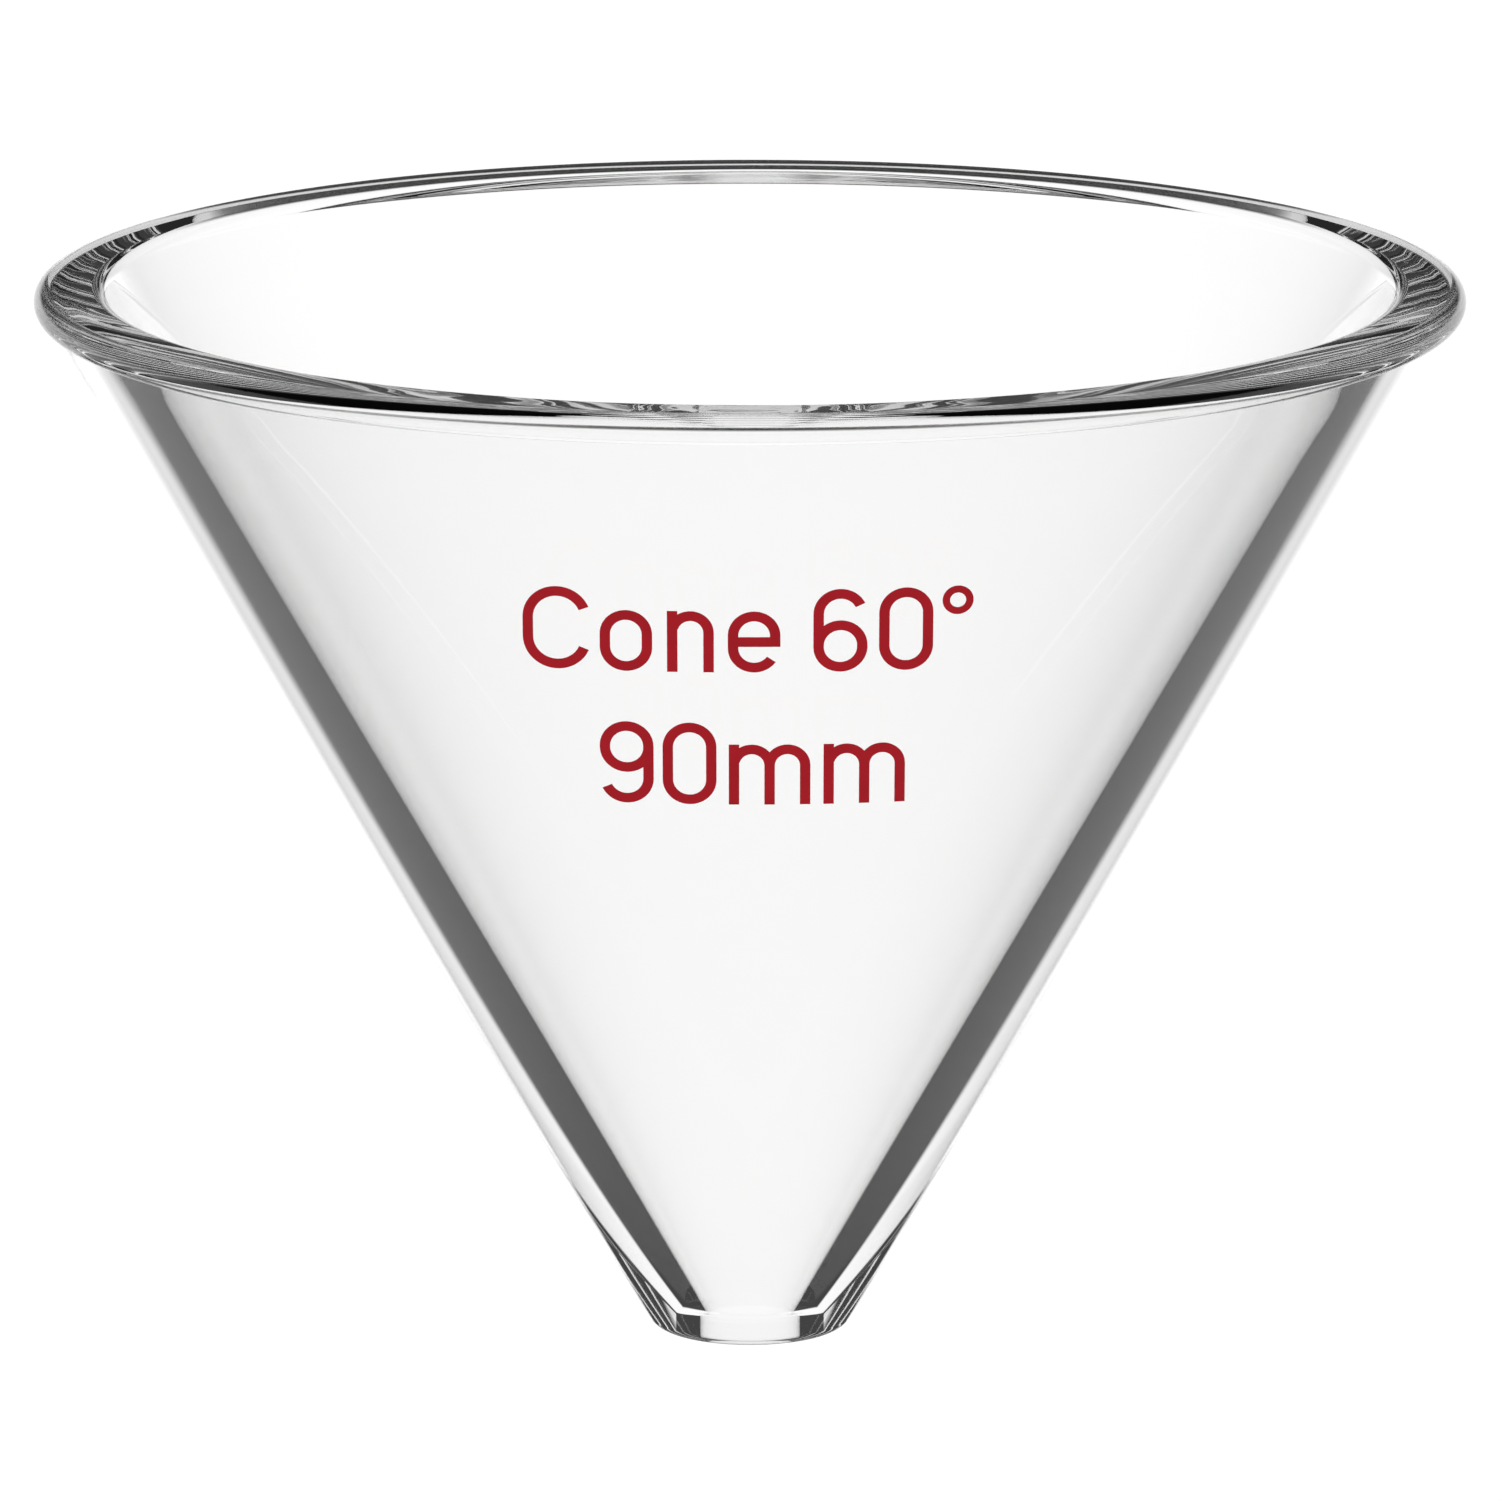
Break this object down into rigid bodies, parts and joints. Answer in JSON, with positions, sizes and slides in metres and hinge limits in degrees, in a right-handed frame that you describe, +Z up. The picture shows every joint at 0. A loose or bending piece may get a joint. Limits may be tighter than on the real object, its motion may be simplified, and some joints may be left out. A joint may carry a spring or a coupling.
{
  "type": "glass funnel",
  "caption": "Thick-walled laboratory glass funnel with a straight 60 degree cone, a beaded mouth and a short open outlet, for pouring powders and liquids into narrow necks.",
  "frame": {"origin": "on the cone's axis, at the level of the outlet's bottom face", "axes": "+Z up along the cone's axis from the outlet to the mouth; the printed marks are on the -Y side"},
  "size_m": [0.09, 0.09, 0.0676],
  "materials": {
    "glass": "clear, fire polished",
    "glass_rim": "clear, flame worked and very glossy",
    "glass_outlet": "clear, fire polished",
    "red_enamel": "fired vitreous enamel print, satin"
  },
  "bodies": {
    "root": {"cone_wall": "glass", "rim_bead": "glass_rim", "outlet": "glass_outlet", "angle_mark": "red_enamel", "size_mark": "red_enamel"}
  },
  "joints": []
}
